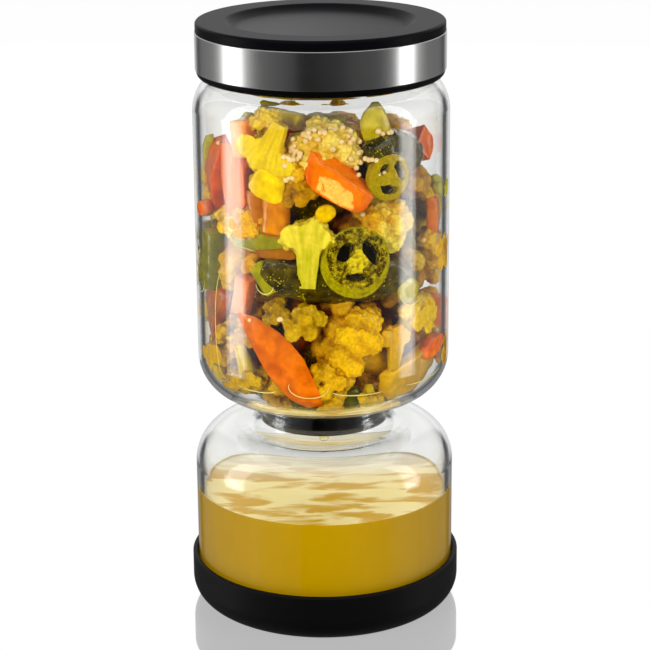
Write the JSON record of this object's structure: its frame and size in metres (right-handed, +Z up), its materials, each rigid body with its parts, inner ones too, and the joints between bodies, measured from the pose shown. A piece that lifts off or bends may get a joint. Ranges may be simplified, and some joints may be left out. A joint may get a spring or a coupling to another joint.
{
  "type": "hourglass pickle jar with strainer",
  "caption": "Glass pickle jar pinched at the waist, with vegetables above a strainer, brine below, a steel-banded black lid and a black rubber boot.",
  "frame": {"origin": "centre of the boot's underside, on the floor", "axes": "+Z up along the jar's axis; the shown side faces -Y, with +X to the right"},
  "size_m": [0.1094, 0.1094, 0.24],
  "materials": {
    "glass": "clear soda-lime glass",
    "boot_rubber": "smooth black silicone",
    "brine": "yellow pickle brine",
    "strainer_plastic": "glossy black moulded plastic",
    "pickles": "wet cauliflower, carrot, gherkin, pepper and chilli",
    "lid_plastic": "fine matt black moulded plastic",
    "band_steel": "bright rolled stainless steel"
  },
  "bodies": {
    "root": {"glass_jar": "glass", "boot": "boot_rubber", "brine": "brine", "strainer": "strainer_plastic", "pickle_heap": "pickles", "lid": "lid_plastic", "lid_band": "band_steel"}
  },
  "joints": []
}
